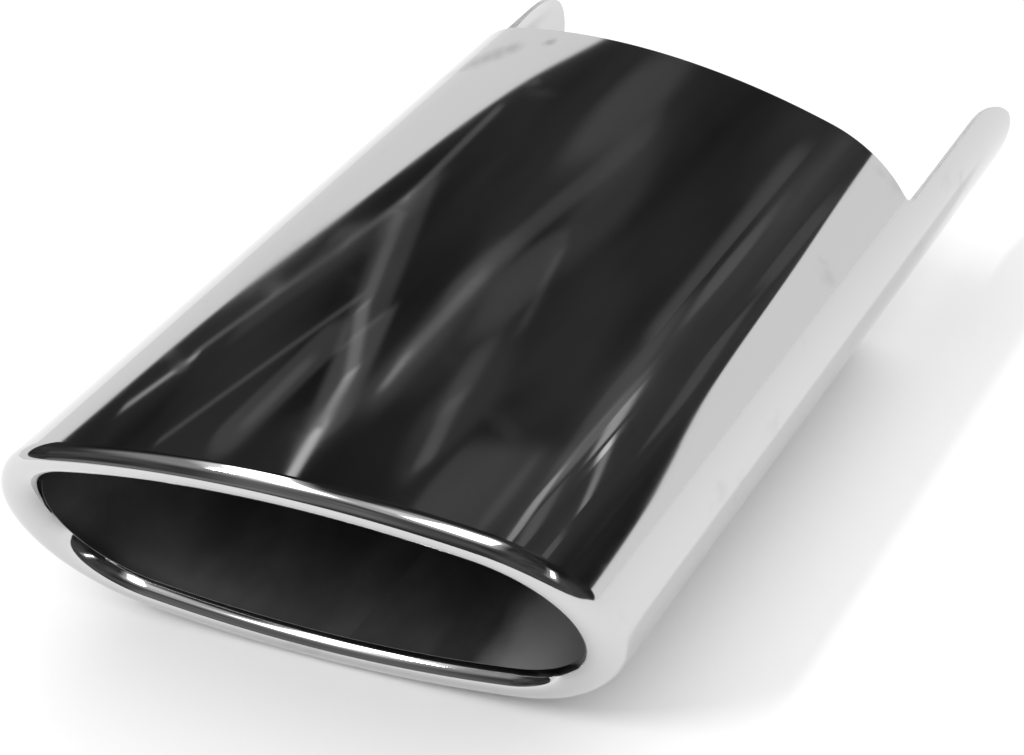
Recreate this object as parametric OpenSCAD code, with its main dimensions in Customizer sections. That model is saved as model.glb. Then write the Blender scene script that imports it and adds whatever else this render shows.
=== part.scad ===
// Oval exhaust tip of polished sheet steel, one piece, open at both ends.
// The mouth is cut slanted across its width and rolled inward to a smooth lip.
// Two round-ended tongues of the same sheet reach back from the side walls.
// Millimetres. X is across the width, +Y runs from the mouth to the tongues, +Z is up.
// The origin is at the bottom centre of the whole tip.

/* [Body] */
// Outside width of the oval tube
body_w = 150; // [120:1:200]
// Outside height of the oval tube
body_h = 78; // [66:1:100]
// Rise of the oval's two wide faces above its tight ends, on each side
wide_rise = 5; // [3:0.5:14]
// Length on the centre line, from the mouth to the rear edge
body_l = 165; // [110:1:240]
// Thickness of the sheet
sheet_t = 1.2; // [0.8:0.1:1.8]

/* [Mouth] */
// Angle of the mouth across the width, seen from above
mouth_slant = 18; // [0:0.5:28]
// Outside radius of the rolled lip
lip_r = 4.4; // [2.2:0.1:5.5]
// Straight length of the sheet after the roll, inside the mouth
lip_return = 0.5; // [0.5:0.1:8]

/* [Tongues] */
// Width of each tongue, seen from the side
tongue_w = 30; // [24:1:36]
// Length of the left tongue behind the rear edge, over its round end
tongue_left_l = 50; // [30:1:80]
// Length of the right tongue behind the rear edge, over its round end
tongue_right_l = 59; // [30:1:80]
// Length of a tongue's round end, from the first curve of its sides to its tip
tongue_round_l = 20; // [19:1:28]
// Radius at the tip of a tongue's round end
tongue_tip_r = 11; // [6:0.5:11.5]
// Radius of the fillet where a tongue leaves the rear edge
tongue_root_r = 3; // [1:0.5:6]

/* [Hidden] */

half_w = body_w / 2;
half_h = body_h / 2;

// Outside radius of the oval's two tight ends
end_r = half_h - wide_rise;
// Sideways distance from the axis to the centre of a tight end
end_c = half_w - end_r;
// Radius of the two wide arcs that meet the tight ends smoothly
wide_r = (end_c * end_c + half_h * half_h - end_r * end_r) / (2 * wide_rise);
// Distance from the axis to a wide arc's centre
wide_c = wide_r - half_h;
// Angle of the join above the X axis, seen from the centre of a tight end
join_a = atan2(wide_c, end_c);

// Half the width of a tongue
tongue_half = tongue_w / 2;
// Distance from a tongue's first curve to the centre of its tip's arc
tip_c = tongue_round_l - tongue_tip_r;
// Radius of the two side arcs that meet the tongue's straight sides and its tip smoothly
side_r = (tongue_half * tongue_half - tongue_tip_r * tongue_tip_r + tip_c * tip_c)
    / (2 * (tongue_half - tongue_tip_r));
// Length of the side arcs, from a tongue's first curve to the arc of its tip
side_l = tip_c * side_r / (side_r - tongue_tip_r);

// Foremost point of the slanted lip, hindmost point of the tongues, and the middle between them
front_y = lip_r - lip_r / cos(mouth_slant) - tan(mouth_slant) * (half_w - lip_r);
back_y = body_l + max(tongue_left_l, tongue_right_l);
mid_y = (front_y + back_y) / 2;

// Steps around a tight end, around a wide arc and around the roll
end_steps = 36;
wide_steps = 18;
roll_steps = 12;
// The lip stands this much proud of the sheet and laps this far over it, so that the two join fully
lip_proud = 0.03;
lip_lap = 0.6;

// Extra length of a cutting solid past what it cuts
past = 10;

steel = [0.64, 0.64, 0.65];

// Four-arc oval, drawn the given depth inside the outer surface
module oval(depth) {
    intersection() {
        translate([0, -wide_c])
            circle(r = wide_r - depth, $fn = 360);
        translate([0, wide_c])
            circle(r = wide_r - depth, $fn = 360);
        square([2 * (end_c + (end_r - depth) * cos(join_a)), body_h], center = true);
    }
    for (side = [-1, 1])
        translate([side * end_c, 0])
            circle(r = end_r - depth, $fn = 120);
}

// Fillet between a tongue's edge and the rear edge, on the upper side of the tongue
module root_fillet() {
    difference() {
        translate([body_l - 1, tongue_half - 1])
            square(tongue_root_r + 1);
        translate([body_l + tongue_root_r, tongue_half + tongue_root_r])
            circle(r = tongue_root_r, $fn = 48);
    }
}

// Round end of a tongue, three smooth arcs that start on the Y axis and reach towards +X
module round_end() {
    intersection() {
        translate([0, tongue_half - side_r])
            circle(r = side_r, $fn = 160);
        translate([0, side_r - tongue_half])
            circle(r = side_r, $fn = 160);
        translate([0, -tongue_w])
            square([side_l, 2 * tongue_w]);
    }
    translate([tip_c, 0])
        circle(r = tongue_tip_r, $fn = 96);
}

// Side view of a tongue of the given length, with its round end and its root fillets
module tongue_profile(length) {
    translate([body_l - 1, -tongue_half])
        square([length + 1 - tongue_round_l, tongue_w]);
    translate([body_l + length - tongue_round_l, 0])
        round_end();
    root_fillet();
    mirror([0, 1])
        root_fillet();
}

// All that is cut away behind the rear edge on one side, around a tongue of the given length
module rear_waste(side, length) {
    translate([side * (half_w - 1), 0, 0])
        rotate([90, 0, 90])
            linear_extrude(height = body_w, center = true)
                difference() {
                    translate([body_l, -body_h])
                        square([back_y - body_l + past, 2 * body_h]);
                    tongue_profile(length);
                }
}

// All that is cut away in front of the line where the lip's roll begins
module mouth_waste() {
    translate([0, lip_r, 0])
        rotate([0, 0, mouth_slant])
            translate([-body_w, -2 * body_w, -body_h])
                cube([2 * body_w, 2 * body_w, 2 * body_h]);
}

// Oval tube with its slanted front and its tongue-cut rear
module tube() {
    difference() {
        translate([0, back_y, 0])
            rotate([90, 0, 0])
                linear_extrude(height = back_y - front_y + past)
                    difference() {
                        oval(0);
                        oval(sheet_t);
                    }
        mouth_waste();
        rear_waste(-1, tongue_left_l);
        rear_waste(1, tongue_right_l);
    }
}

// Points of one arc of the oval, each as X, Z and the outward normal's X and Z
function arc(cx, cz, r, from, to, steps) = [
    for (i = [0:steps - 1])
        let (a = from + (to - from) * i / steps)
            [cx + r * cos(a), cz + r * sin(a), cos(a), sin(a)]
];

// Outer line of the whole oval
path = concat(
    arc(end_c, 0, end_r, -join_a, join_a, end_steps),
    arc(0, -wide_c, wide_r, join_a, 180 - join_a, wide_steps),
    arc(-end_c, 0, end_r, 180 - join_a, 180 + join_a, end_steps),
    arc(0, wide_c, wide_r, 180 + join_a, 360 - join_a, wide_steps)
);

// Section of the rolled lip: depth inside the outer surface, and distance behind the mouth
lip_section = concat(
    [[-lip_proud, lip_r + lip_lap], [-lip_proud, lip_r]],
    [for (i = [1:roll_steps])
        let (a = 180 * i / roll_steps)
            [lip_r - lip_r * cos(a), lip_r - lip_r * sin(a)]],
    [[2 * lip_r, lip_r + lip_return], [2 * lip_r - sheet_t, lip_r + lip_return]],
    [for (i = [roll_steps:-1:1])
        let (a = 180 * i / roll_steps)
            [lip_r - (lip_r - sheet_t) * cos(a), lip_r - (lip_r - sheet_t) * sin(a)]],
    [[sheet_t + lip_proud, lip_r], [sheet_t + lip_proud, lip_r + lip_lap]]
);

// Lip rolled inward along the slanted mouth
module lip() {
    rings = len(path);
    ring_points = len(lip_section);
    points = [
        for (p = path)
            for (s = lip_section)
                let (x = p[0] - p[2] * s[0])
                    [x, s[1] + x * tan(mouth_slant), p[1] - p[3] * s[0]]
    ];
    faces = [
        for (i = [0:rings - 1])
            for (j = [0:ring_points - 1])
                let (
                    k = (i + 1) % rings,
                    m = (j + 1) % ring_points,
                    a = i * ring_points + j,
                    b = k * ring_points + j,
                    c = k * ring_points + m,
                    d = i * ring_points + m
                )
                    each [[a, c, b], [a, d, c]]
    ];
    polyhedron(points = points, faces = faces);
}

// The whole tip, moved so that the origin is at its bottom centre
module tip() {
    color(steel)
        translate([0, -mid_y, half_h]) {
            tube();
            lip();
        }
}

tip();
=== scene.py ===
"""Dresses the oval exhaust tip: one polished sheet, bent round, with its mouth rolled in."""

import logging
import math
from dataclasses import dataclass, field
from enum import Enum

import bpy
from mathutils import Matrix, Vector

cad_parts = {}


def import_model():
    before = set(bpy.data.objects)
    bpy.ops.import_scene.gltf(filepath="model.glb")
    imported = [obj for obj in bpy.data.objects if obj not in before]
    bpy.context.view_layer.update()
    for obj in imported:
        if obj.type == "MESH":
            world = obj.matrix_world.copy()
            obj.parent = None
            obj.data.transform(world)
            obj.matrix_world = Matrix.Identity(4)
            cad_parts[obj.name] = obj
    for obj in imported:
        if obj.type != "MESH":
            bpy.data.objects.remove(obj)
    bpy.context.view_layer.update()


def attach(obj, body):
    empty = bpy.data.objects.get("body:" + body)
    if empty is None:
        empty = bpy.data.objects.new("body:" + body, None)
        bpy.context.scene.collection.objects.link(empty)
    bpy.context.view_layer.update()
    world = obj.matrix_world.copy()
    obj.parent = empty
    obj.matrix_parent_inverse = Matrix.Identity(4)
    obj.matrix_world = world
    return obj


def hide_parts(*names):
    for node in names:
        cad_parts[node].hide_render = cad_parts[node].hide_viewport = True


LOG = logging.getLogger("exhaust_tip")
MM = 0.001
SLACK = 1e-9
Number = float | bpy.types.NodeSocket
Pair = tuple[float, float]
Triple = tuple[float, float, float]


class Side(Enum):
    """The three surfaces of the sheet, in the order of the piece's material slots."""

    OUTSIDE = 0
    INSIDE = 1
    CUT_EDGE = 2


@dataclass(frozen=True)
class TipSizes:
    """The tip's sizes in metres: an oval of two tight end arcs and two wide arcs."""

    width: float = 150 * MM
    height: float = 78 * MM
    wide_rise: float = 5 * MM
    length: float = 165 * MM
    sheet: float = 1.2 * MM
    slant: float = math.radians(18)
    lip_radius: float = 4.4 * MM
    lip_return: float = 0.5 * MM
    tongue_width: float = 30 * MM
    left_tongue: float = 50 * MM
    right_tongue: float = 59 * MM
    tongue_round: float = 20 * MM
    tongue_tip: float = 11 * MM
    tongue_root: float = 3 * MM
    edge_break: float = 0.2 * MM

    @property
    def end_radius(self) -> float:
        """Radius of the oval's two tight end arcs."""
        return self.height / 2 - self.wide_rise

    @property
    def end_centre(self) -> float:
        """Distance from the middle to an end arc's centre."""
        return self.width / 2 - self.end_radius

    @property
    def wide_radius(self) -> float:
        """Radius of the wide arcs, which meet the end arcs without a corner."""
        return (self.end_centre**2 + self.wide_rise**2) / (2 * self.wide_rise) + self.end_radius

    @property
    def wide_centre(self) -> float:
        """Distance from the middle to a wide arc's centre."""
        return self.wide_radius - self.height / 2

    @property
    def join_angle(self) -> float:
        """Angle above level at which an end arc becomes a wide arc."""
        return math.atan2(self.wide_centre, self.end_centre)

    @property
    def end_arc(self) -> float:
        """Length of an end arc from level to the join."""
        return self.end_radius * self.join_angle

    @property
    def quarter(self) -> float:
        """A quarter of the way round the oval."""
        return self.end_arc + self.wide_radius * (math.pi / 2 - self.join_angle)

    @property
    def mouth_front(self) -> float:
        """The foremost point of the slanted mouth, measured from its middle."""
        lip, turn = self.lip_radius, math.tan(self.slant)
        return lip - lip / math.cos(self.slant) - turn * (self.width / 2 - lip)

    @property
    def middle(self) -> float:
        """Distance from the mouth's middle to the middle of the whole length."""
        return (self.mouth_front + self.length + max(self.left_tongue, self.right_tongue)) / 2

    @property
    def tongue_side(self) -> float:
        """Radius of the arcs between a tongue's straight sides and the arc of its tip."""
        half, reach = self.tongue_width / 2, self.tongue_round - self.tongue_tip
        return (half**2 - self.tongue_tip**2 + reach**2) / (2 * (half - self.tongue_tip))

    def across(self, around: float) -> Triple:
        """Finds how far a point of the oval stands to the right, and which way it faces.

        Args:
            around: distance round the oval from its lowest point.

        Returns:
            The point's x, and the x and z of its outward normal.
        """
        side = 1.0 if around <= 2 * self.quarter else -1.0
        folded = around if side > 0 else 4 * self.quarter - around
        from_end = abs(folded - self.quarter)
        up = math.copysign(1.0, folded - self.quarter)
        if from_end < self.end_arc:
            angle = from_end / self.end_radius
            x = self.end_centre + self.end_radius * math.cos(angle)
            return side * x, side * math.cos(angle), up * math.sin(angle)
        angle = (self.quarter - from_end) / self.wide_radius
        return side * self.wide_radius * math.sin(angle), side * math.sin(angle), up * math.cos(angle)

    def facing(self, around: float, along: float) -> Vector:
        """Finds the way the bent sheet's outer side faces at a point of the flat sheet.

        Args:
            around: distance round the oval from its lowest point.
            along: distance along the sheet, behind the mouth's middle.

        Returns:
            The outward normal.
        """
        x, out_x, out_z = self.across(around)
        turn = math.tan(self.slant)
        angle = min(max((self.lip_radius + turn * x - along) / self.lip_radius, 0.0), math.pi)
        if angle == 0.0:
            return Vector((out_x, 0, out_z))
        round_way = Vector((-out_z, -turn * out_z, out_x))
        rolled = math.sin(angle)
        roll_way = Vector((-out_x * rolled, -math.cos(angle) - turn * out_x * rolled, -out_z * rolled))
        return round_way.cross(roll_way).normalized()


class NodeWriter:
    """Adds nodes to a tree by short calls and wires their inputs."""

    def __init__(self, tree: bpy.types.NodeTree) -> None:
        """Keeps the tree that the nodes go into."""
        self.tree = tree

    def add(self, kind: str, /, **values: object) -> bpy.types.Node:
        """Adds one node.

        Args:
            kind: the node's type name.
            values: its properties, by name.

        Returns:
            The new node.
        """
        node = self.tree.nodes.new(kind)
        for name, value in values.items():
            setattr(node, name, value)
        return node

    def put(self, value: object, socket: bpy.types.NodeSocket) -> None:
        """Wires a socket to an input, or writes a plain value on it.

        Args:
            value: a socket or a plain value.
            socket: the input that takes it.
        """
        if isinstance(value, bpy.types.NodeSocket):
            self.tree.links.new(value, socket)
        else:
            socket.default_value = value

    def math(self, operation: str, *values: Number) -> bpy.types.NodeSocket:
        """Adds a math node.

        Args:
            operation: the node's operation.
            values: numbers or sockets for its inputs in turn.

        Returns:
            The result's socket.
        """
        node = self.add("ShaderNodeMath", operation=operation)
        for value, socket in zip(values, node.inputs):
            self.put(value, socket)
        return node.outputs[0]

    def pick(self, test: Number, yes: Number, no: Number) -> bpy.types.NodeSocket:
        """Takes one of two numbers.

        Args:
            test: 1 or 0.
            yes: the result where test is 1.
            no: the result where test is 0.

        Returns:
            The result's socket.
        """
        other = self.math("SUBTRACT", 1.0, test)
        return self.math("MULTIPLY_ADD", yes, test, self.math("MULTIPLY", no, other))

    def ease(
        self, value: Number, low: Number, high: Number, to_low: Number = 0.0, to_high: Number = 1.0
    ) -> bpy.types.NodeSocket:
        """Maps a number from one range to another with soft ends.

        Args:
            value: the number.
            low: start of its range.
            high: end of its range.
            to_low: result at the start and before it.
            to_high: result at the end and after it.

        Returns:
            The result's socket.
        """
        node = self.add("ShaderNodeMapRange", interpolation_type="SMOOTHSTEP")
        entries = {"Value": value, "From Min": low, "From Max": high, "To Min": to_low, "To Max": to_high}
        for name, entry in entries.items():
            self.put(entry, node.inputs[name])
        return node.outputs["Result"]

    def noise(self, place: bpy.types.NodeSocket, stretch: Triple, detail: float) -> bpy.types.NodeSocket:
        """Adds noise.

        Args:
            place: the socket of the place or direction that it varies over.
            stretch: waves for each unit of the place's three parts.
            detail: how many finer waves lie on it.

        Returns:
            The noise's socket, from 0 to 1.
        """
        spread = self.add("ShaderNodeVectorMath", operation="MULTIPLY")
        self.put(place, spread.inputs[0])
        self.put(stretch, spread.inputs[1])
        cloud = self.add("ShaderNodeTexNoise")
        self.put(spread.outputs[0], cloud.inputs["Vector"])
        self.put(1.0, cloud.inputs["Scale"])
        self.put(detail, cloud.inputs["Detail"])
        return cloud.outputs["Fac"]

    def grey(self, shade: Number) -> bpy.types.NodeSocket:
        """Turns a number into a grey colour.

        Args:
            shade: the brightness of all three channels.

        Returns:
            The colour's socket.
        """
        tone = self.add("ShaderNodeCombineColor")
        for channel in tone.inputs:
            self.put(shade, channel)
        return tone.outputs[0]

    def dot(self, one: object, other: object) -> bpy.types.NodeSocket:
        """Multiplies two vectors to a number.

        Args:
            one: a vector or its socket.
            other: another vector or its socket.

        Returns:
            The result's socket.
        """
        node = self.add("ShaderNodeVectorMath", operation="DOT_PRODUCT")
        self.put(one, node.inputs[0])
        self.put(other, node.inputs[1])
        return node.outputs["Value"]


class BendingTree:
    """Geometry Nodes that bend the flat sheet into the oval and roll its front edge in."""

    INPUTS = (
        "End radius", "End centre", "End arc", "Wide radius", "Wide centre",
        "Quarter", "Lip radius", "Slant", "Middle", "Half height",
    )
    WELD = 0.01 * MM

    def __init__(self, sizes: TipSizes, finish: bpy.types.Material) -> None:
        """Builds the tree.

        Args:
            sizes: the tip's sizes.
            finish: the material of the sheet's outside.
        """
        self.sizes = sizes
        self.tree = bpy.data.node_groups.new("bend sheet", "GeometryNodeTree")
        face = self.tree.interface
        face.new_socket("Geometry", in_out="INPUT", socket_type="NodeSocketGeometry")
        for name in self.INPUTS:
            face.new_socket(name, in_out="INPUT", socket_type="NodeSocketFloat")
        face.new_socket("Geometry", in_out="OUTPUT", socket_type="NodeSocketGeometry")
        self.wire = NodeWriter(self.tree)
        self.source = self.wire.add("NodeGroupInput")
        place = self.wire.add("GeometryNodeSetPosition")
        self.wire.put(self.source.outputs["Geometry"], place.inputs["Geometry"])
        self.wire.put(self._bent_place(), place.inputs["Position"])
        weld = self.wire.add("GeometryNodeMergeByDistance")
        smooth = self.wire.add("GeometryNodeSetShadeSmooth")
        real = self.wire.add("GeometryNodeRealizeInstances")
        coat = self.wire.add("GeometryNodeSetMaterial")
        end = self.wire.add("NodeGroupOutput")
        self.wire.put(self.WELD, weld.inputs["Distance"])
        self.wire.put(finish, coat.inputs["Material"])
        for before, after in ((place, weld), (weld, smooth), (smooth, real), (real, coat), (coat, end)):
            self.wire.put(before.outputs[0], after.inputs["Geometry"])

    def _input(self, name: str) -> bpy.types.NodeSocket:
        """Gives one of the tree's named inputs."""
        return self.source.outputs[name]

    def _section(self, around: Number, depth: Number) -> tuple[bpy.types.NodeSocket, bpy.types.NodeSocket]:
        """Finds a point of the oval section.

        Args:
            around: distance round the oval from its lowest point.
            depth: how far the point lies inside the oval.

        Returns:
            The point's x and z, from the oval's middle.
        """
        do = self.wire.math
        quarter = self._input("Quarter")
        half = do("MULTIPLY", quarter, 2.0)
        signed = do("SUBTRACT", do("PINGPONG", around, half), quarter)
        from_end = do("ABSOLUTE", signed)
        on_end = do("LESS_THAN", from_end, self._input("End arc"))
        end_angle = do("DIVIDE", from_end, self._input("End radius"))
        wide_angle = do("DIVIDE", do("SUBTRACT", quarter, from_end), self._input("Wide radius"))
        end_reach = do("SUBTRACT", self._input("End radius"), depth)
        wide_reach = do("SUBTRACT", self._input("Wide radius"), depth)
        x_end = do("MULTIPLY_ADD", end_reach, do("COSINE", end_angle), self._input("End centre"))
        z_end = do("MULTIPLY", end_reach, do("SINE", end_angle))
        x_wide = do("MULTIPLY", wide_reach, do("SINE", wide_angle))
        z_wide = do("MULTIPLY", wide_reach, do("COSINE", wide_angle))
        z_wide = do("SUBTRACT", z_wide, self._input("Wide centre"))
        side = do("SIGN", do("SUBTRACT", half, around))
        x = do("MULTIPLY", self.wire.pick(on_end, x_end, x_wide), side)
        z = do("MULTIPLY", self.wire.pick(on_end, z_end, z_wide), do("SIGN", signed))
        return x, z

    def _bent_place(self) -> bpy.types.NodeSocket:
        """Gives each point of the flat sheet its place in the bent one.

        Returns:
            The socket of the place, with the origin at the tip's bottom centre.
        """
        do = self.wire.math
        flat = self.wire.add("ShaderNodeSeparateXYZ")
        self.wire.put(self.wire.add("GeometryNodeInputPosition").outputs[0], flat.inputs[0])
        around, along = flat.outputs["X"], flat.outputs["Y"]
        lip, turn = self._input("Lip radius"), do("TANGENT", self._input("Slant"))
        x_wall, z_wall = self._section(around, 0.0)
        start = do("MULTIPLY_ADD", turn, x_wall, lip)
        rolled = do("MAXIMUM", do("SUBTRACT", start, along), 0.0)
        angle = do("MINIMUM", do("DIVIDE", rolled, lip), math.pi)
        straight = do("MAXIMUM", do("SUBTRACT", rolled, do("MULTIPLY", lip, math.pi)), 0.0)
        depth = do("SUBTRACT", lip, do("MULTIPLY", lip, do("COSINE", angle)))
        x, z = self._section(around, depth)
        behind = do("ADD", do("SUBTRACT", lip, do("MULTIPLY", lip, do("SINE", angle))), straight)
        y_lip = do("MULTIPLY_ADD", turn, x, behind)
        y = self.wire.pick(do("GREATER_THAN", rolled, 0.0), y_lip, along)
        joined = self.wire.add("ShaderNodeCombineXYZ")
        self.wire.put(x, joined.inputs["X"])
        self.wire.put(do("SUBTRACT", y, self._input("Middle")), joined.inputs["Y"])
        self.wire.put(do("ADD", z, self._input("Half height")), joined.inputs["Z"])
        return joined.outputs[0]

    def bend(self, piece: bpy.types.Object) -> None:
        """Puts the tree on the flat sheet and sets its named inputs.

        Args:
            piece: the flat sheet.
        """
        s = self.sizes
        values = (
            s.end_radius, s.end_centre, s.end_arc, s.wide_radius, s.wide_centre,
            s.quarter, s.lip_radius, s.slant, s.middle, s.height / 2,
        )
        bender = piece.modifiers.new("bend sheet", "NODES")
        bender.node_group = self.tree
        entries = (item for item in self.tree.interface.items_tree if item.in_out == "INPUT")
        sockets = {item.name: item.identifier for item in entries}
        for name, value in zip(self.INPUTS, values):
            bender[sockets[name]] = value


@dataclass
class SheetBlank:
    """The flat sheet before it is bent: a slanting front edge, and two tongues at the back."""

    sizes: TipSizes
    wall_rows: int = 40
    roll_rows: int = 32
    return_rows: int = 1
    tongue_rows: int = 20
    tongue_columns: int = 40
    root_columns: int = 5
    wall_columns: int = 84
    evenness: float = 0.6

    def _columns(self) -> list[float]:
        """Lists where the sheet's columns stand, round the oval from its lowest point.

        Returns:
            Distances in metres, close together at the tongues.
        """
        s = self.sizes
        half_tongue = self._arc(s.tongue_width / 2)
        half_root = self._arc(s.tongue_width / 2 + s.tongue_root)
        side = [s.quarter + reach for reach in (-half_root, -half_tongue, half_tongue, half_root)]
        steps = self.wall_columns
        first = [side[0] * i / steps for i in range(steps)]
        root_in = self._spread(side[0], side[1], self.root_columns, 90.0, 180.0)
        tongue = self._spread(side[1], side[2], self.tongue_columns, 0.0, 180.0)
        root_out = self._spread(side[2], side[3], self.root_columns, 0.0, 90.0)
        last = [side[3] + (2 * s.quarter - side[3]) * i / steps for i in range(steps)]
        half = first + root_in + tongue + root_out + last
        return half + [2 * s.quarter + place for place in half] + [4 * s.quarter]

    def _arc(self, rise: float) -> float:
        """Gives the distance round an end arc for a height above its middle."""
        return self.sizes.end_radius * math.asin(rise / self.sizes.end_radius)

    def _spread(self, low: float, high: float, count: int, begin: float, stop: float) -> list[float]:
        """Spaces columns as the steps of a turn, closer together where the cut edge runs along them.

        Args:
            low: first place.
            high: place after the last.
            count: number of columns.
            begin: angle at low in degrees.
            stop: angle at high in degrees.

        Returns:
            The places, without the last.
        """
        turn = [math.cos(math.radians(begin + (stop - begin) * i / count)) for i in range(count + 1)]
        turned = [(turn[0] - turn[i]) / (turn[0] - turn[-1]) for i in range(count)]
        even = self.evenness
        return [low + (high - low) * (even * i / count + (1 - even) * turned[i]) for i in range(count)]

    def _rise(self, around: float) -> float:
        """Gives the height above the middle of a point on an end arc, or a large number off it."""
        from_end = abs(around % (2 * self.sizes.quarter) - self.sizes.quarter)
        return self.sizes.end_radius * math.sin(min(from_end / self.sizes.end_radius, math.pi / 2))

    def _back(self, around: float) -> float:
        """Finds where the wall ends at the back, with the tongues' rounded roots.

        Args:
            around: distance round the oval.

        Returns:
            The y of the wall's last point; within a tongue, where its root ends.
        """
        s = self.sizes
        beside = self._rise(around) - s.tongue_width / 2
        if beside >= s.tongue_root - SLACK:
            return s.length
        if beside <= SLACK:
            return s.length + s.tongue_root
        return s.length + s.tongue_root - math.sqrt(s.tongue_root**2 - (s.tongue_root - beside) ** 2)

    def _tip(self, around: float) -> float:
        """Finds where a tongue's round end lies.

        Args:
            around: distance round the oval.

        Returns:
            The y of the tongue's end there.
        """
        s = self.sizes
        length = s.right_tongue if around < 2 * s.quarter else s.left_tongue
        rise, side = min(self._rise(around), s.tongue_width / 2), s.tongue_side
        off_side = side - s.tongue_width / 2
        if rise > off_side * s.tongue_tip / (side - s.tongue_tip):
            start = s.length + length - s.tongue_round
            return start + math.sqrt(max(side**2 - (rise + off_side) ** 2, 0.0))
        return s.length + length - s.tongue_tip + math.sqrt(s.tongue_tip**2 - rise**2)

    def _rows(self, around: float) -> list[float]:
        """Lists a column's points from the rolled edge to the wall's back.

        Args:
            around: distance round the oval.

        Returns:
            The points' y.
        """
        s = self.sizes
        start = s.lip_radius + math.tan(s.slant) * s.across(around)[0]
        roll = math.pi * s.lip_radius
        back = self._back(around)
        returned = [s.lip_return * (1 - i / self.return_rows) for i in range(self.return_rows)]
        rows = [start - roll - reach for reach in returned]
        rows += [start - roll * (1 - i / self.roll_rows) for i in range(self.roll_rows)]
        return rows + [start + (back - start) * i / self.wall_rows for i in range(self.wall_rows + 1)]

    def build(self) -> bpy.types.Object:
        """Makes the flat sheet with a UV map that holds its flat sizes in metres.

        Returns:
            The sheet as an object of one layer of faces.
        """
        columns = self._columns()
        points: list[Triple] = []
        faces: list[tuple[int, int, int, int]] = []
        previous: list[int] = []
        for around in columns:
            rows = self._rows(around)
            if self._rise(around) <= self.sizes.tongue_width / 2 + SLACK:
                low, high = rows[-1], self._tip(around)
                rows += [low + (high - low) * (i + 1) / self.tongue_rows for i in range(self.tongue_rows)]
            column = list(range(len(points), len(points) + len(rows)))
            points += [(around, y, 0.0) for y in rows]
            faces += list(zip(previous, previous[1:], column[1:], column))
            previous = column
        mesh = bpy.data.meshes.new("sheet")
        mesh.from_pydata(points, [], faces)
        flat = mesh.uv_layers.new(name="flat")
        for loop in mesh.loops:
            flat.data[loop.index].uv = points[loop.vertex_index][:2]
        piece = bpy.data.objects.new("tip_shell", mesh)
        bpy.context.scene.collection.objects.link(piece)
        return piece


@dataclass(frozen=True)
class Smear:
    """A soft dull spot on the sheet, at a flat place round the oval and along it."""

    around: float
    along: float
    radius: float


@dataclass(frozen=True)
class PolishedSteel:
    """Mirror-polished steel: fine polish marks along the tube, haze, faint smudges and a dull smear.

    Each grain holds the waves for each metre round the oval and along it. Each range holds where in
    the grain's noise a fault starts and where it is full.
    """

    shade: float = 0.60
    gloss: float = 0.045
    haze: float = 0.07
    haze_grain: Triple = (30, 12, 1)
    haze_range: Pair = (0.45, 0.75)
    mark_depth: float = 0.0006 * MM
    mark_grain: Triple = (420, 9, 1)
    smudge: float = 0.12
    smudge_grain: Triple = (55, 75, 1)
    smudge_range: Pair = (0.60, 0.78)
    dulling: float = 0.4
    smear_depth: float = 0.24
    smear_grain: Triple = (400, 400, 1)
    smear_ragged: float = 2.5 * MM
    smear_core: float = 0.2
    smear_reach: float = 1.2
    smears: tuple[Smear, ...] = (
        Smear(242.5 * MM, 146.0 * MM, 6.0 * MM),
        Smear(240.0 * MM, 148.5 * MM, 6.0 * MM),
        Smear(237.5 * MM, 151.0 * MM, 6.0 * MM),
        Smear(234.5 * MM, 154.0 * MM, 5.5 * MM),
        Smear(224.3 * MM, 159.1 * MM, 3.8 * MM),
    )

    def make(self) -> bpy.types.Material:
        """Builds the material on the sheet's flat UV map.

        Returns:
            The finished material.
        """
        steel = bpy.data.materials.new("polished_steel")
        steel.use_nodes = True
        wire = NodeWriter(steel.node_tree)
        shader = steel.node_tree.nodes["Principled BSDF"]
        shader.inputs["Metallic"].default_value = 1.0
        flat = wire.add("ShaderNodeUVMap", uv_map="flat").outputs[0]
        smudges = wire.ease(wire.noise(flat, self.smudge_grain, 3.0), *self.smudge_range, 0.0, self.smudge)
        loss = wire.math("MULTIPLY_ADD", self._smeared(wire, flat), self.smear_depth, smudges)
        shade = wire.math("MULTIPLY_ADD", loss, -self.shade, self.shade)
        wire.put(wire.grey(shade), shader.inputs["Base Color"])
        haze = wire.noise(flat, self.haze_grain, 4.0)
        cloud = wire.ease(haze, *self.haze_range, self.gloss, self.gloss + self.haze)
        wire.put(wire.math("MULTIPLY_ADD", loss, self.dulling, cloud), shader.inputs["Roughness"])
        marks = wire.add("ShaderNodeBump")
        wire.put(wire.noise(flat, self.mark_grain, 2.0), marks.inputs["Height"])
        wire.put(self.mark_depth, marks.inputs["Distance"])
        wire.put(1.0, marks.inputs["Strength"])
        wire.put(marks.outputs[0], shader.inputs["Normal"])
        return steel

    def _smeared(self, wire: NodeWriter, flat: bpy.types.NodeSocket) -> Number:
        """Finds how strongly each place of the sheet is smeared.

        Args:
            wire: the writer of the material's nodes.
            flat: the flat UV map's socket.

        Returns:
            A number or socket from 0 to 1.
        """
        ragged = wire.math("MULTIPLY", wire.noise(flat, self.smear_grain, 3.0), self.smear_ragged)
        most: Number = 0.0
        for smear in self.smears:
            away = wire.add("ShaderNodeVectorMath", operation="DISTANCE")
            wire.put(flat, away.inputs[0])
            wire.put((smear.around, smear.along, 0.0), away.inputs[1])
            reach = wire.math("ADD", away.outputs["Value"], ragged)
            core, rim = self.smear_core * smear.radius, self.smear_reach * smear.radius
            spot = wire.ease(reach, core, rim, 1.0, 0.0)
            most = wire.math("MAXIMUM", most, spot)
        return most


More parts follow.
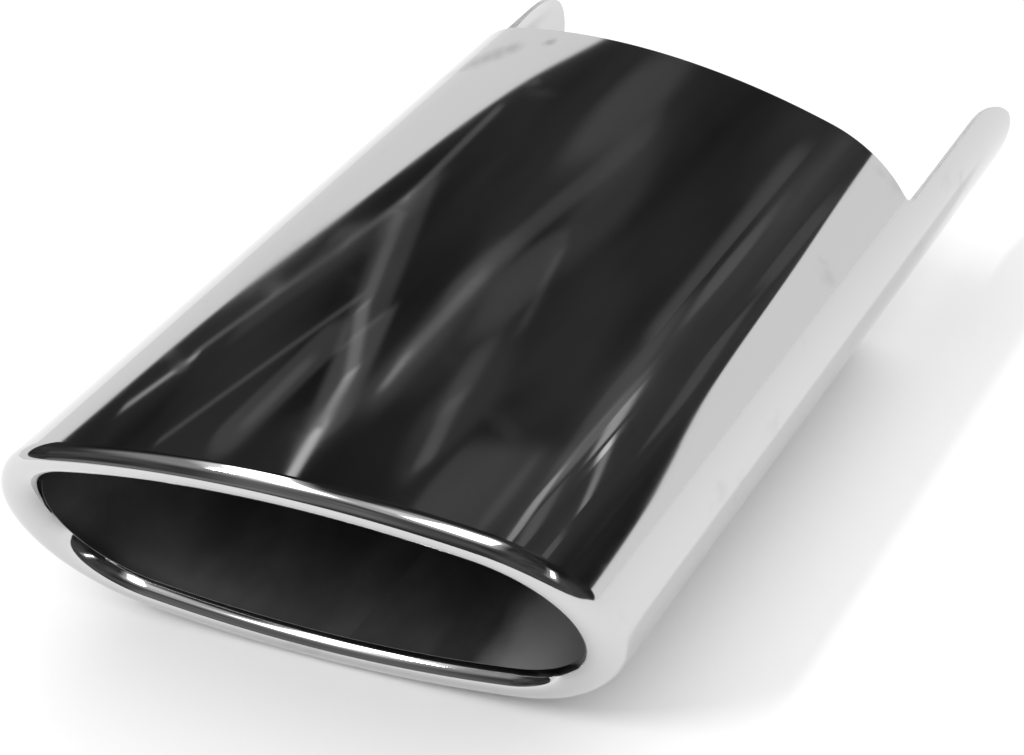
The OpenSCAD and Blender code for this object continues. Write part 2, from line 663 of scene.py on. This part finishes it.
@dataclass(frozen=True)
class InnerSteel:
    """The sheet's inner side: polished at the back and on the tongues; further in, rough with painted shade.

    The polish begins a little ahead of the rear edge and is full a little behind it. The painted light patch,
    lighter where the lower right of the inside mirrors light, lies between two distances round the oval and
    fades out at both.
    """

    sizes: TipSizes
    polished: float = 0.60
    # painted shade: base shade of the rough inside further in, darkened to stand for the shade deep in the
    # tube
    painted_shade: float = 0.105
    # painted light: base shade of a lighter patch low on the right of the inside, where it mirrors light
    painted_light: float = 0.60
    painted_light_start: float = 30 * MM
    painted_light_end: float = 88 * MM
    painted_light_fade: float = 14 * MM
    polish_ahead: float = 10 * MM
    polish_behind: float = 4 * MM
    # unevenness of that painted shade: noise grain, range and share; the same noise wanders the polish and
    # patch edges
    shade_mottle_grain: Triple = (60, 40, 1)
    shade_mottle_range: Pair = (0.3, 0.7)
    shade_mottle_uneven: float = 0.2
    edge_wander: float = 12 * MM
    gloss: float = 0.07
    rough: float = 0.5

    def make(self) -> bpy.types.Material:
        """Builds the material on the sheet's flat UV map.

        Returns:
            The finished material.
        """
        steel = bpy.data.materials.new("inner_steel")
        steel.use_nodes = True
        wire = NodeWriter(steel.node_tree)
        shader = steel.node_tree.nodes["Principled BSDF"]
        shader.inputs["Metallic"].default_value = 1.0
        flat = wire.add("ShaderNodeUVMap", uv_map="flat").outputs[0]
        place = wire.add("ShaderNodeSeparateXYZ")
        wire.put(flat, place.inputs[0])
        cloud = wire.noise(flat, self.shade_mottle_grain, 4.0)
        along = wire.math("MULTIPLY_ADD", cloud, self.edge_wander, place.outputs["Y"])
        rear = self.sizes.length
        shiny = wire.ease(along, rear - self.polish_ahead, rear + self.polish_behind)
        sideways = wire.math("SUBTRACT", cloud, 0.5)
        around = wire.math("MULTIPLY_ADD", sideways, self.edge_wander, place.outputs["X"])
        # painted light: a lighter patch low on the right of the inside, faded in and out round the oval
        painted_light_patch = wire.math(
            "MULTIPLY",
            wire.ease(around, self.painted_light_start, self.painted_light_start + self.painted_light_fade),
            wire.ease(around, self.painted_light_end, self.painted_light_end + self.painted_light_fade, 1.0, 0.0),
        )
        # painted shade further in, mottled between a lower and a higher level
        low_painted_shade, thick = (1 - self.shade_mottle_uneven) * self.painted_shade, (1 + self.shade_mottle_uneven) * self.painted_shade
        mottled_painted_shade = wire.ease(cloud, *self.shade_mottle_range, low_painted_shade, thick)
        shade = wire.pick(shiny, self.polished, wire.pick(painted_light_patch, self.painted_light, mottled_painted_shade))
        wire.put(wire.grey(shade), shader.inputs["Base Color"])
        wire.put(wire.pick(shiny, self.gloss, self.rough), shader.inputs["Roughness"])
        return steel


@dataclass(frozen=True)
class CutSteel:
    """The sheet's cut edge: satin, with fine grain along the cut."""

    shade: float = 0.72
    metal: float = 0.75
    rough: float = 0.55
    rough_spread: float = 0.08
    grain: Triple = (900, 900, 1)
    grain_range: Pair = (0.3, 0.7)

    def make(self) -> bpy.types.Material:
        """Builds the material.

        Returns:
            The finished material.
        """
        steel = bpy.data.materials.new("cut_steel")
        steel.use_nodes = True
        wire = NodeWriter(steel.node_tree)
        shader = steel.node_tree.nodes["Principled BSDF"]
        shader.inputs["Base Color"].default_value = (self.shade, self.shade, self.shade, 1)
        shader.inputs["Metallic"].default_value = self.metal
        flat = wire.add("ShaderNodeUVMap", uv_map="flat").outputs[0]
        smooth, rough = self.rough - self.rough_spread, self.rough + self.rough_spread
        grain = wire.ease(wire.noise(flat, self.grain, 2.0), *self.grain_range, smooth, rough)
        wire.put(grain, shader.inputs["Roughness"])
        return steel


@dataclass
class TipShell:
    """The tip: one bent sheet that replaces the frame's plain solid."""

    sizes: TipSizes = field(default_factory=TipSizes)
    break_steps: int = 2
    break_angle: float = math.radians(60)

    def build(self) -> bpy.types.Object:
        """Bends, thickens and dresses the sheet.

        Returns:
            The finished piece.
        """
        outside = PolishedSteel().make()
        piece = SheetBlank(self.sizes).build()
        for finish in (outside, InnerSteel(self.sizes).make(), CutSteel().make()):
            piece.data.materials.append(finish)
        BendingTree(self.sizes, outside).bend(piece)
        thick = piece.modifiers.new("thickness", "SOLIDIFY")
        thick.thickness = self.sizes.sheet
        thick.offset = -1.0
        thick.material_offset = Side.INSIDE.value
        thick.material_offset_rim = Side.CUT_EDGE.value
        worn = piece.modifiers.new("broken edges", "BEVEL")
        worn.width = self.sizes.edge_break
        worn.segments = self.break_steps
        worn.angle_limit = self.break_angle
        worn.harden_normals = True
        worn.material = Side.CUT_EDGE.value
        self._make_plain(piece)
        self._smooth(piece.data)
        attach(piece, "root")
        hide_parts("tip")
        return piece

    @staticmethod
    def _make_plain(piece: bpy.types.Object) -> None:
        """Turns the piece and its modifiers into a plain mesh.

        Args:
            piece: the object with its modifiers still live.
        """
        graph = bpy.context.evaluated_depsgraph_get()
        made = piece.evaluated_get(graph)
        mesh = bpy.data.meshes.new_from_object(made, preserve_all_data_layers=True, depsgraph=graph)
        piece.modifiers.clear()
        piece.data = mesh

    def _smooth(self, mesh: bpy.types.Mesh) -> None:
        """Gives the sheet's two sides the exact normals of the bent surface.

        Args:
            mesh: the finished mesh, with the flat places in its UV map.
        """
        flat = mesh.uv_layers["flat"].data
        normals = [Vector(corner.vector) for corner in mesh.corner_normals]
        for face in mesh.polygons:
            if face.material_index == Side.CUT_EDGE.value:
                continue
            turn = 1.0 if face.material_index == Side.OUTSIDE.value else -1.0
            for corner in face.loop_indices:
                normals[corner] = self.sizes.facing(*flat[corner].uv) * turn
        mesh.normals_split_custom_set(normals)


@dataclass(frozen=True)
class Camera:
    """The camera at the photograph's viewing angle."""

    eye: Triple = (163.99 * MM, -176.35 * MM, 281.38 * MM)
    azimuth: float = 45.669
    elevation: float = 48.003
    roll: float = -11.737
    lens: float = 45.105
    sensor: float = 36.0
    nearest: float = 0.01

    def build(self) -> bpy.types.Object:
        """Places the camera and makes it the scene's own.

        Returns:
            The camera.
        """
        turn, lift, tilt = (math.radians(a) for a in (self.azimuth, self.elevation, self.roll))
        back = Vector((math.sin(turn) * math.cos(lift), -math.cos(turn) * math.cos(lift), math.sin(lift)))
        right = Vector((0, 0, 1)).cross(back).normalized()
        up = back.cross(right)
        across = math.cos(tilt) * right + math.sin(tilt) * up
        upright = math.cos(tilt) * up - math.sin(tilt) * right
        turned = Matrix((across, upright, back)).transposed().to_4x4()
        data = bpy.data.cameras.new("camera")
        data.lens, data.sensor_width, data.sensor_fit = self.lens, self.sensor, "HORIZONTAL"
        data.clip_start = self.nearest
        camera = bpy.data.objects.new("camera", data)
        camera.matrix_world = Matrix.Translation(self.eye) @ turned
        bpy.context.scene.collection.objects.link(camera)
        bpy.context.scene.camera = camera
        return camera


def direction(azimuth: float, elevation: float) -> Vector:
    """Turns a direction in degrees into a vector.

    Args:
        azimuth: angle from +Y towards +X.
        elevation: angle above level.

    Returns:
        The unit vector.
    """
    turn, lift = math.radians(azimuth), math.radians(elevation)
    return Vector((math.sin(turn) * math.cos(lift), math.cos(turn) * math.cos(lift), math.sin(lift)))


@dataclass(frozen=True)
class Glow:
    """A lit strip in the dim room, seen only as a reflection. All angles are in degrees.

    Attributes:
        start: azimuth and elevation of one end.
        end: azimuth and elevation of the other end.
        strength: its brightness, where white paper has 1.
        half_width: from its middle line to where it starts to fade.
        soft: width of the fade all round.
    """

    start: Pair
    end: Pair
    strength: float
    half_width: float
    soft: float


@dataclass(frozen=True)
class Lamp:
    """A soft strip lamp that looks at the object from a distance.

    Attributes:
        WATTS: power of a square metre of strip with a radiance of 1.
        name: the lamp's name.
        start: azimuth and elevation of one end, in degrees.
        end: azimuth and elevation of the other end, in degrees.
        distance: from the origin to the strip's middle, in metres.
        width: the strip's width in metres.
        radiance: how bright the strip is, where white paper has 1.
    """

    WATTS = 4.0

    name: str
    start: Pair
    end: Pair
    distance: float
    width: float
    radiance: float

    def build(self) -> None:
        """Hangs the lamp."""
        first, last = direction(*self.start), direction(*self.end)
        away = (first + last).normalized()
        along = (last - first).normalized()
        reach = 2 * self.distance * math.tan(first.angle(last) / 2)
        data = bpy.data.lights.new(self.name, "AREA")
        data.shape, data.size, data.size_y = "RECTANGLE", reach, self.width
        data.energy = self.radiance * self.WATTS * reach * self.width
        lamp = bpy.data.objects.new(self.name, data)
        turned = Matrix((along, away.cross(along), away)).transposed().to_4x4()
        lamp.matrix_world = Matrix.Translation(away * self.distance) @ turned
        bpy.context.scene.collection.objects.link(lamp)


class GlowTree:
    """Nodes that brighten the directions along a strip of the room."""

    INPUTS = (
        ("Way", "NodeSocketVector"), ("Across", "NodeSocketVector"), ("Middle", "NodeSocketVector"),
        ("Half width", "NodeSocketFloat"), ("Soft", "NodeSocketFloat"), ("Half length", "NodeSocketFloat"),
        ("Strength", "NodeSocketFloat"),
    )

    def __init__(self) -> None:
        """Builds the tree."""
        self.tree = bpy.data.node_groups.new("glow", "ShaderNodeTree")
        for name, kind in self.INPUTS:
            self.tree.interface.new_socket(name, in_out="INPUT", socket_type=kind)
        self.tree.interface.new_socket("Glow", in_out="OUTPUT", socket_type="NodeSocketFloat")
        wire = NodeWriter(self.tree)
        source = wire.add("NodeGroupInput").outputs
        do = wire.math
        off = do("ABSOLUTE", wire.dot(source["Way"], source["Across"]))
        beyond = do("ARCCOSINE", wire.dot(source["Way"], source["Middle"]))
        side, end = (do("ADD", source[name], source["Soft"]) for name in ("Half width", "Half length"))
        inside = wire.ease(off, source["Half width"], side, 1.0, 0.0)
        within = wire.ease(beyond, source["Half length"], end, 1.0, 0.0)
        glow = do("MULTIPLY", do("MULTIPLY", inside, within), source["Strength"])
        wire.put(glow, wire.add("NodeGroupOutput").inputs[0])

    def lay(self, wire: NodeWriter, way: bpy.types.NodeSocket, glow: Glow) -> bpy.types.NodeSocket:
        """Adds one strip to the world.

        Args:
            wire: the writer of the world's nodes.
            way: the direction that is looked in.
            glow: the strip.

        Returns:
            The strip's brightness.
        """
        first, last = direction(*glow.start), direction(*glow.end)
        node = wire.add("ShaderNodeGroup", node_tree=self.tree)
        wire.put(way, node.inputs["Way"])
        values = {
            "Across": first.cross(last).normalized(), "Middle": (first + last).normalized(),
            "Half width": math.radians(glow.half_width), "Soft": math.radians(glow.soft),
            "Half length": first.angle(last) / 2, "Strength": glow.strength,
        }
        for name, value in values.items():
            wire.put(value, node.inputs[name])
        return node.outputs[0]


@dataclass
class Studio:
    """White paper on the floor and behind the tip, a dim room above it, soft light and one key lamp.

    Attributes:
        room: brightness of the dim room in reflections.
        room_grain: waves of its unevenness along each axis.
        room_range: where in the noise it is dimmest and brightest.
        room_uneven: its dimmest and brightest share.
        front_room: how much brighter it is in front of the tip.
        front_range: the y of a direction at which that starts to fade and ends.
        soft_light: brightness of the soft light straight from its middle.
        soft_from: azimuth and elevation of that middle, in degrees.
        soft_range: cosine of the angle off the middle at which it is least and full.
        soft_least: share of it that comes from all other sides.
        paper_shade: brightness of the paper backdrop in reflections.
        paper_blur: half the width of the backdrop's soft edge, in degrees.
        floor_shade: the floor paper's shade.
        floor_lift: its own faint glow, which the camera and reflections see.
        floor_gap: how far it lies under the tip.
        floor_corners: x and y of its corners.
        backdrop_edge: the backdrop's upper edge, as azimuth and elevation in degrees.
        key: the lamp that casts the shadow.
        lip_lights: strips that the rolled lip mirrors.
        rear_glow: a broad faint light behind the tip.
        left_streaks: fine strips that the left of the dark face mirrors.
        middle_patches: faint patches that its middle mirrors.
        right_streaks: strips that its right side mirrors.
    """

    room: float = 0.022
    room_grain: Triple = (3, 3, 3)
    room_range: Pair = (0.3, 0.7)
    room_uneven: Pair = (0.5, 1.8)
    front_room: float = 2.6
    front_range: Pair = (-0.6, 0.1)
    soft_light: float = 1.8
    soft_from: Pair = (25, 74)
    soft_range: Pair = (0.35, 1.0)
    soft_least: float = 0.04
    paper_shade: float = 0.96
    paper_blur: float = 0.3
    floor_shade: float = 0.96
    floor_lift: float = 0.02
    floor_gap: float = 0.05 * MM
    floor_corners: tuple[Pair, ...] = (
        (0.55, -0.20), (0.55, 0.90), (-0.90, 0.90), (-0.90, -0.62), (-0.05, -0.35),
    )
    backdrop_edge: tuple[Pair, ...] = (
        (-180, -20), (-90, 14), (-78, 17), (-68, 18), (-60, 20.5), (-50, 23), (-43, 26.6), (-35, 30), (0, 31),
        (36, 30), (45, 26.8), (52, 24), (56, 20), (60, 12.5), (63.5, 6), (67, 3), (90, -6), (180, -20),
    )
    key: Lamp = Lamp("key_lamp", (-148, 48), (-129, 59), 1.6, 0.10, 40.0)
    lip_lights: tuple[Glow, ...] = (
        Glow((-165, 51), (-85, 60), 5.5, 3.6, 2.0),
        Glow((-166, 48), (-90, 60), 0.8, 5.0, 6.0),
        Glow((-168, 44), (-108, 48), 0.26, 6.0, 12.0),
        Glow((160, 50), (120, 74), 6.5, 7.5, 2.5),
        Glow((163, 44), (110, 78), 0.5, 10.0, 9.0),
        Glow((107, 25), (123, 11), 6.0, 1.0, 0.6),
        Glow((104, 27), (128, 7), 0.30, 1.5, 4.0),
        Glow((-165, 64), (165, 64), 0.42, 4.0, 8.0),
        Glow((-176, 2), (-173, 30), 0.10, 5.0, 9.0),
        Glow((-172, -4), (-150, -2), 0.14, 3.0, 6.0),
    )
    rear_glow: Glow = Glow((15, 45), (60, 42), 0.030, 12.0, 14.0)
    left_streaks: tuple[Glow, ...] = (
        Glow((-58.8, 54.0), (-57.0, 50.5), 0.70, 0.35, 0.5),
        Glow((-57.0, 50.5), (-55.3, 46.5), 0.32, 0.25, 0.5),
        Glow((-55.3, 46.5), (-56.6, 38.5), 0.15, 0.2, 0.5),
        Glow((-56.4, 38.5), (-55.7, 27.0), 0.08, 0.2, 0.6),
        Glow((-56.4, 52.0), (-55.3, 42.0), 0.070, 1.5, 0.8),
        Glow((-55.9, 42.0), (-55.2, 27.0), 0.045, 1.3, 0.8),
        Glow((-71.9, 32.6), (-57.2, 36.8), 0.07, 0.15, 0.4),
        Glow((-67.5, 41.4), (-58.0, 39.2), 0.045, 2.2, 0.8),
        Glow((-64.9, 41.5), (-60.8, 40.2), 0.05, 0.4, 1.0),
        Glow((-73.7, 21.3), (-69.5, 23.3), 0.36, 0.2, 0.4),
        Glow((-69.5, 22.6), (-59.8, 26.2), 0.10, 0.2, 0.5),
        Glow((-59.8, 26.2), (-55.5, 27.2), 0.12, 0.25, 0.5),
        Glow((-55.5, 27.2), (-50.0, 24.6), 0.09, 0.35, 0.6),
        Glow((-65.0, 21.4), (-64.2, 24.2), 0.08, 0.2, 0.4),
        Glow((-60.6, 23.0), (-58.8, 26.0), 0.08, 0.2, 0.4),
        Glow((-66.0, 25.2), (-54.0, 29.0), 0.025, 0.8, 1.6),
        Glow((-49.9, 51.3), (-48.6, 49.8), 0.30, 0.2, 0.5),
        Glow((-48.6, 49.8), (-43.0, 46.6), 0.11, 0.6, 0.8),
        Glow((-50.5, 51.8), (-42.0, 45.5), 0.04, 1.6, 2.0),
    )
    middle_patches: tuple[Glow, ...] = (
        Glow((-37.0, 47.4), (-35.5, 52.8), 0.042, 2.4, 0.9),
        Glow((-32.3, 49.4), (-30.8, 54.6), 0.04, 0.15, 0.5),
        Glow((-46.0, 46.0), (-30.0, 42.2), 0.040, 0.8, 1.2),
        Glow((-31.0, 45.0), (-28.0, 49.0), 0.028, 1.5, 3.5),
        Glow((-36.2, 54.5), (-35.8, 58.2), 0.045, 0.7, 1.0),
        Glow((-35.8, 58.2), (-34.5, 62.4), 0.075, 0.4, 0.8),
        Glow((-36.0, 56.5), (-32.0, 61.5), 0.022, 2.5, 2.5),
        Glow((-28.0, 65.0), (-5.0, 66.0), 0.045, 1.8, 1.5),
        Glow((-5.0, 66.0), (28.0, 62.0), 0.035, 1.8, 1.5),
        Glow((-38, 37), (-32, 39), 0.045, 2.0, 3.0),
    )
    right_streaks: tuple[Glow, ...] = (
        Glow((24, 62.2), (36, 62.4), 0.30, 0.7, 1.2),
        Glow((24.5, 56), (25.5, 61), 0.12, 2.0, 2.5),
        Glow((28, 55.2), (36, 53.8), 0.40, 0.8, 0.9),
        Glow((39.4, 52), (42.6, 50.4), 0.90, 0.35, 0.4),
        Glow((42.6, 50.2), (54.5, 42), 0.26, 0.25, 0.4),
        Glow((36, 59), (47, 56), 0.08, 0.6, 1.5),
        Glow((57, 43.5), (59, 40.5), 0.08, 0.5, 0.8),
        Glow((2, 57), (18, 60), 0.045, 2.0, 3.0),
        Glow((9, 50.5), (17, 51), 0.06, 1.6, 2.5),
        Glow((-2.2, 47), (-1.4, 56), 0.06, 0.5, 1.5),
        Glow((36, 37), (40, 32), 0.045, 1.4, 2.0),
        Glow((44, 36), (52, 33), 0.05, 1.2, 2.0),
    )

    @property
    def glows(self) -> tuple[Glow, ...]:
        """All strips of the dim room."""
        streaks = self.left_streaks + self.middle_patches + self.right_streaks
        return (*self.lip_lights, self.rear_glow, *streaks)

    def _floor(self) -> None:
        """Lays the paper just under the tip."""
        mesh = bpy.data.meshes.new("floor")
        corners = [(x, y, 0.0) for x, y in self.floor_corners]
        mesh.from_pydata(corners, [], [tuple(range(len(corners)))])
        floor = bpy.data.objects.new("floor", mesh)
        floor.location.z = -self.floor_gap
        bpy.context.scene.collection.objects.link(floor)
        paper = bpy.data.materials.new("white_paper")
        paper.use_nodes = True
        wire = NodeWriter(paper.node_tree)
        nodes = paper.node_tree.nodes
        nodes.remove(nodes["Principled BSDF"])
        matt = wire.add("ShaderNodeBsdfDiffuse")
        matt.inputs["Color"].default_value = (self.floor_shade,) * 3 + (1,)
        lift = wire.add("ShaderNodeEmission")
        path = wire.add("ShaderNodeLightPath").outputs
        seen = wire.math("MAXIMUM", path["Is Camera Ray"], path["Is Glossy Ray"])
        seen = wire.math("MAXIMUM", seen, path["Is Transmission Ray"])
        wire.put(wire.math("MULTIPLY", seen, self.floor_lift), lift.inputs["Strength"])
        both = wire.add("ShaderNodeAddShader")
        wire.put(matt.outputs[0], both.inputs[0])
        wire.put(lift.outputs[0], both.inputs[1])
        wire.put(both.outputs[0], nodes["Material Output"].inputs["Surface"])
        mesh.materials.append(paper)

    def _edge(self, wire: NodeWriter, turned: bpy.types.NodeSocket) -> bpy.types.NodeSocket:
        """Gives the height at which the white backdrop ends.

        Args:
            wire: the writer of the world's nodes.
            turned: the azimuth in degrees.

        Returns:
            The edge's elevation in degrees.
        """
        curve = wire.add("ShaderNodeFloatCurve")
        line = curve.mapping.curves[0]
        places = [((a + 180) / 360, (e + 90) / 180) for a, e in self.backdrop_edge]
        line.points[0].location, line.points[-1].location = places[0], places[-1]
        for place in places[1:-1]:
            line.points.new(*place)
        curve.mapping.update()
        wire.put(wire.math("MULTIPLY_ADD", turned, 1 / 360, 0.5), curve.inputs["Value"])
        return wire.math("MULTIPLY_ADD", curve.outputs[0], 180.0, -90.0)

    def _mirrored(self, wire: NodeWriter, way: bpy.types.NodeSocket) -> bpy.types.NodeSocket:
        """Gives the brightness of the surroundings as the polished steel mirrors them.

        Args:
            wire: the writer of the world's nodes.
            way: the direction that is looked in.

        Returns:
            The brightness: paper below the backdrop's edge, the dim room and its strips above it.
        """
        do = wire.math
        split = wire.add("ShaderNodeSeparateXYZ")
        wire.put(way, split.inputs[0])
        x, y, z = split.outputs
        turned = do("MULTIPLY", do("ARCTAN2", x, y), math.degrees(1))
        raised = do("MULTIPLY", do("ARCSINE", z), math.degrees(1))
        over = do("SUBTRACT", raised, self._edge(wire, turned))
        paper = wire.ease(over, -self.paper_blur, self.paper_blur, 1.0, 0.0)
        dim, bright = (share * self.room for share in self.room_uneven)
        lit = wire.ease(wire.noise(way, self.room_grain, 3.0), *self.room_range, dim, bright)
        lit = do("MULTIPLY", lit, wire.ease(y, *self.front_range, self.front_room, 1.0))
        strips = GlowTree()
        for glow in self.glows:
            lit = do("ADD", lit, strips.lay(wire, way, glow))
        return wire.pick(paper, self.paper_shade, lit)

    def _world(self) -> None:
        """Sets the world: white to the camera, the mirrored room to polished steel, soft light to the rest.

        A reflection that lights matt paper gets the soft light too, so that the room isn't a lamp.
        """
        world = bpy.data.worlds.new("studio")
        bpy.context.scene.world = world
        world.use_nodes = True
        wire = NodeWriter(world.node_tree)
        do = wire.math
        way = wire.add("ShaderNodeTexCoord").outputs["Generated"]
        path = wire.add("ShaderNodeLightPath").outputs
        plain = world.node_tree.nodes["Background"]
        mirrored = wire.add("ShaderNodeBackground")
        for ground in (plain, mirrored):
            ground.inputs["Color"].default_value = (1, 1, 1, 1)
        above = wire.dot(way, direction(*self.soft_from))
        soft = wire.ease(above, *self.soft_range, self.soft_least * self.soft_light, self.soft_light)
        wire.put(wire.pick(path["Is Camera Ray"], 1.0, soft), plain.inputs["Strength"])
        wire.put(self._mirrored(wire, way), mirrored.inputs["Strength"])
        mirror = do("MAXIMUM", path["Is Glossy Ray"], path["Is Transmission Ray"])
        straight = do("LESS_THAN", path["Diffuse Depth"], 0.5)
        mixed = wire.add("ShaderNodeMixShader")
        wire.put(do("MULTIPLY", mirror, straight), mixed.inputs[0])
        wire.put(plain.outputs[0], mixed.inputs[1])
        wire.put(mirrored.outputs[0], mixed.inputs[2])
        wire.put(mixed.outputs[0], world.node_tree.nodes["World Output"].inputs["Surface"])

    def build(self) -> None:
        """Sets up the floor, the world and the key lamp."""
        self._floor()
        self._world()
        self.key.build()
        bpy.context.scene.view_settings.view_transform = "Standard"


def main() -> None:
    """Builds the camera, the tip and the studio in order, and reports each piece."""
    logging.basicConfig(level=logging.INFO, format="%(name)s: %(message)s")
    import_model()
    camera = Camera().build()
    LOG.info("camera at %s", [round(value, 4) for value in camera.matrix_world.translation])
    shell = TipShell().build()
    LOG.info("%s: %d faces", shell.name, len(shell.data.polygons))
    Studio().build()
    LOG.info("studio set")


if __name__ == "__main__":
    main()
